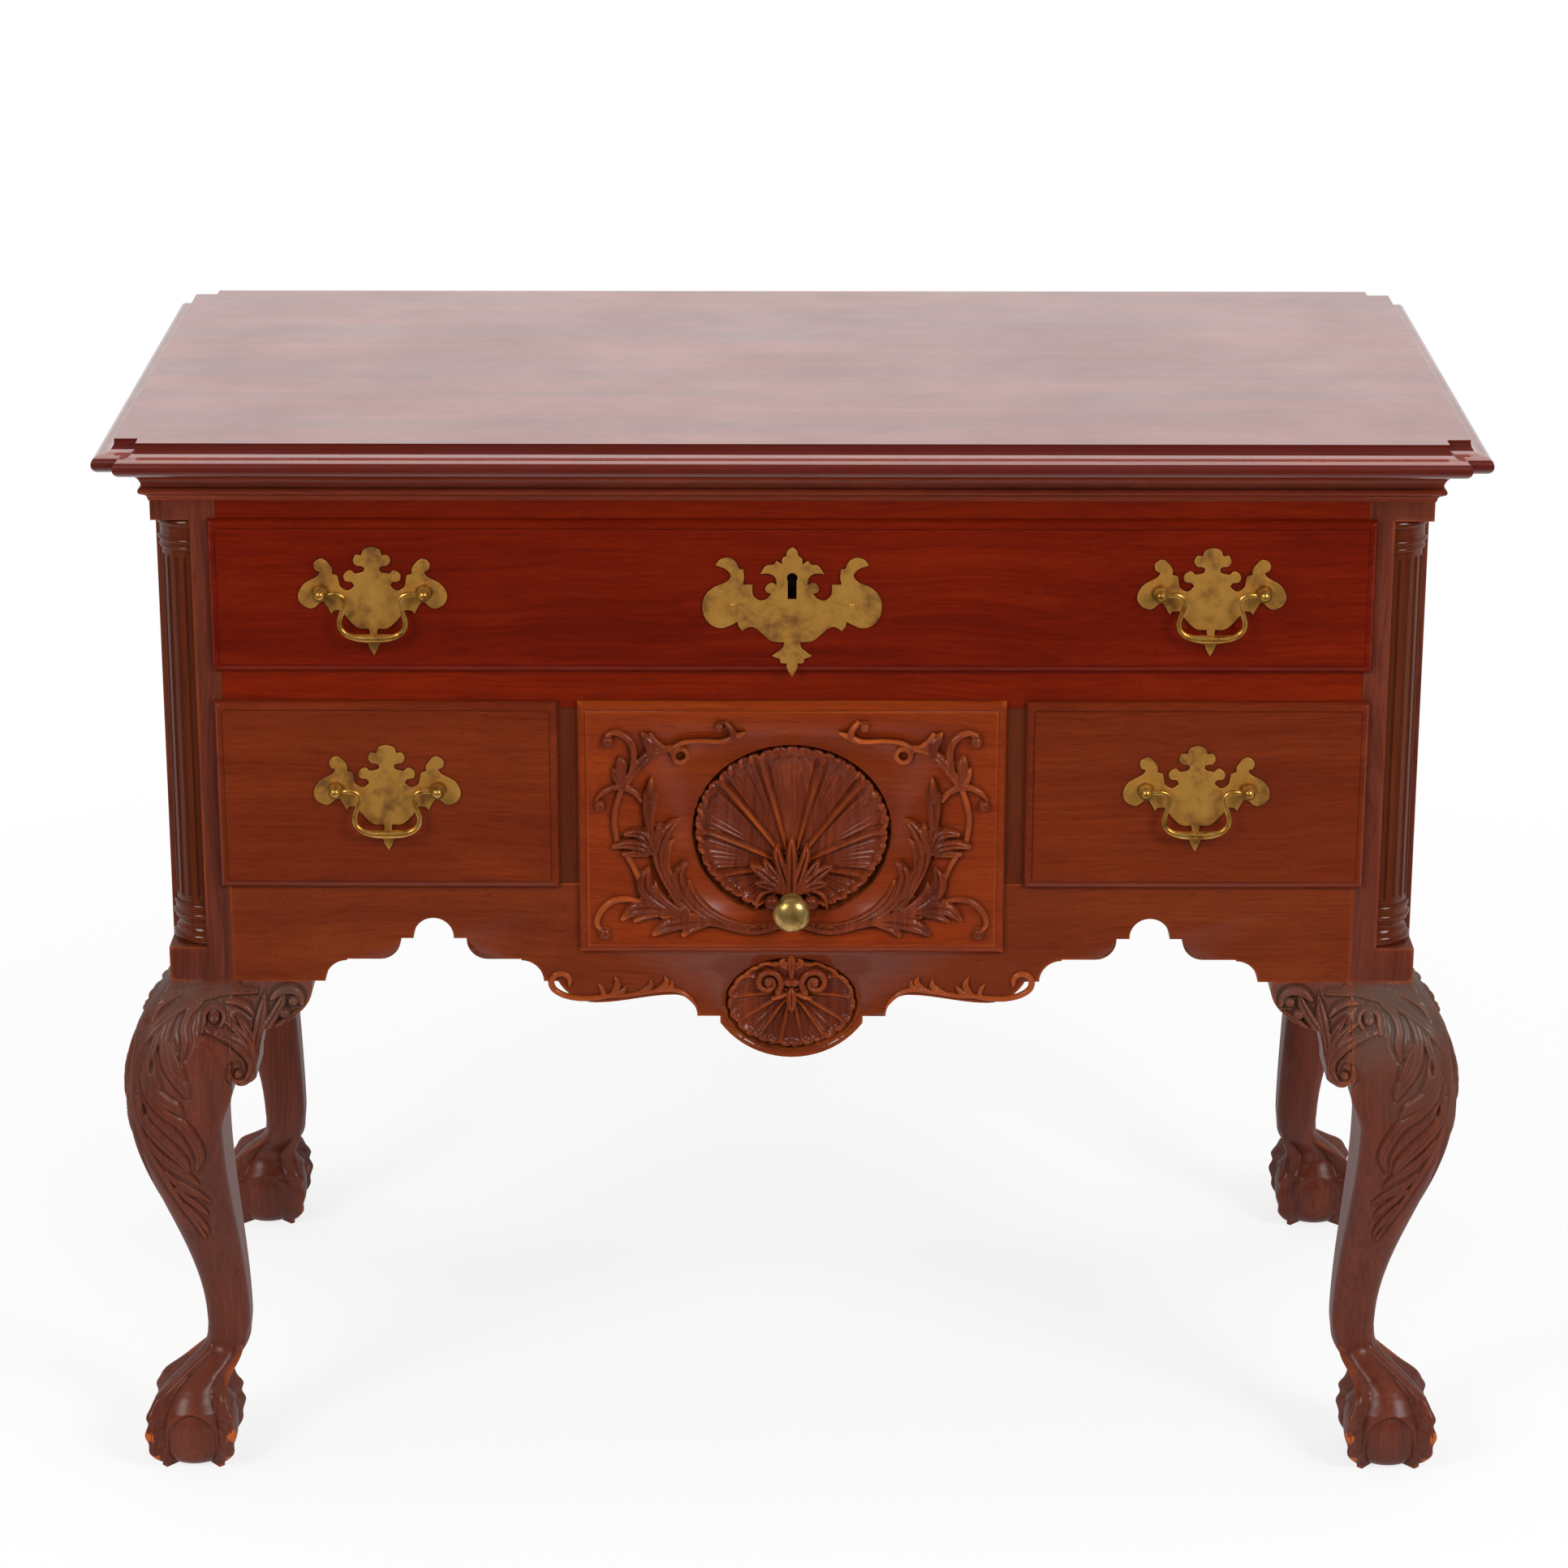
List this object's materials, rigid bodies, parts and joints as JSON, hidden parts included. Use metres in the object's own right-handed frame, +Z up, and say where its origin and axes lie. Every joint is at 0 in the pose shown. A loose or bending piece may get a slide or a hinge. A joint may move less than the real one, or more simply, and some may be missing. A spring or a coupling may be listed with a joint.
{
  "type": "lowboy",
  "caption": "Dressing table: a long drawer over short ones, fluted quarter columns, scalloped apron, cabriole legs with ball and claw feet.",
  "frame": {"origin": "on the floor, under the middle of the top board", "axes": "+X along the length of the top, to the right of a person in front; +Y from the drawers to the back; +Z up"},
  "size_m": [0.94, 0.502, 0.762],
  "materials": {
    "mahogany": "old shellac polish, glossy, red-brown",
    "dark_mahogany": "old shellac polish, darker brown on the carved and turned pieces",
    "pine": "bare and unpolished secondary wood",
    "brass": "aged and lacquered, tarnished in the hollows",
    "iron": "dark wrought iron"
  },
  "bodies": {
    "case": {"top_board": "mahogany", "cornice_front": "mahogany", "cornice_left": "mahogany", "cornice_right": "mahogany", "leg_front_left": "dark_mahogany", "leg_front_right": "dark_mahogany", "leg_back_left": "dark_mahogany", "leg_back_right": "dark_mahogany", "knee_blocks_front": "dark_mahogany", "knee_blocks_left": "dark_mahogany", "knee_blocks_right": "dark_mahogany", "quarter_column_left": "dark_mahogany", "quarter_column_right": "dark_mahogany", "side_left": "mahogany", "side_right": "mahogany", "back_panel": "pine", "top_rail": "mahogany", "middle_rail": "mahogany", "divider_left": "mahogany", "divider_right": "mahogany", "apron": "mahogany", "upper_runners": "pine", "lower_runners": "pine", "drawer_guides": "pine", "kickers": "pine", "top_cleats": "pine"},
    "long_drawer": {"long_drawer_front": "mahogany", "long_drawer_sides": "pine", "long_drawer_back": "pine", "long_drawer_bottom": "pine", "escutcheon": "brass", "escutcheon_pins": "brass", "lock_case": "iron", "plate_upper_left": "brass", "plate_upper_right": "brass", "pull_posts_long": "brass"},
    "left_drawer": {"left_drawer_front": "mahogany", "left_drawer_sides": "pine", "left_drawer_back": "pine", "left_drawer_bottom": "pine", "plate_lower_left": "brass", "pull_posts_left": "brass"},
    "middle_drawer": {"middle_drawer_front": "mahogany", "middle_drawer_sides": "pine", "middle_drawer_back": "pine", "middle_drawer_bottom": "pine", "middle_knob": "brass"},
    "right_drawer": {"right_drawer_front": "mahogany", "right_drawer_sides": "pine", "right_drawer_back": "pine", "right_drawer_bottom": "pine", "plate_lower_right": "brass", "pull_posts_right": "brass"},
    "bail_upper_left": {"bail_upper_left": "brass"},
    "bail_upper_right": {"bail_upper_right": "brass"},
    "bail_lower_left": {"bail_lower_left": "brass"},
    "bail_lower_right": {"bail_lower_right": "brass"},
    "lock_bolt": {"lock_bolt": "iron"}
  },
  "joints": [
    {"name": "long_drawer_slide", "type": "slide", "parent": "case", "child": "long_drawer", "axis": [0, -1, 0], "range_m": [0, 0.3]},
    {"name": "left_drawer_slide", "type": "slide", "parent": "case", "child": "left_drawer", "axis": [0, -1, 0], "range_m": [0, 0.3]},
    {"name": "middle_drawer_slide", "type": "slide", "parent": "case", "child": "middle_drawer", "axis": [0, -1, 0], "range_m": [0, 0.3]},
    {"name": "right_drawer_slide", "type": "slide", "parent": "case", "child": "right_drawer", "axis": [0, -1, 0], "range_m": [0, 0.3]},
    {"name": "bail_upper_left_swing", "type": "hinge", "parent": "long_drawer", "child": "bail_upper_left", "pos_m": [-0.285, -0.2301, 0.655], "axis": [-1, 0, 0], "range_deg": [-5, 175]},
    {"name": "bail_upper_right_swing", "type": "hinge", "parent": "long_drawer", "child": "bail_upper_right", "pos_m": [0.285, -0.2301, 0.655], "axis": [-1, 0, 0], "range_deg": [-5, 175]},
    {"name": "bail_lower_left_swing", "type": "hinge", "parent": "left_drawer", "child": "bail_lower_left", "pos_m": [-0.27875, -0.2301, 0.514], "axis": [-1, 0, 0], "range_deg": [-5, 175]},
    {"name": "bail_lower_right_swing", "type": "hinge", "parent": "right_drawer", "child": "bail_lower_right", "pos_m": [0.27875, -0.2301, 0.514], "axis": [-1, 0, 0], "range_deg": [-5, 175]},
    {"name": "lock_bolt_slide", "type": "slide", "parent": "long_drawer", "child": "lock_bolt", "axis": [0, 0, 1], "range_m": [0, 0.008]}
  ]
}
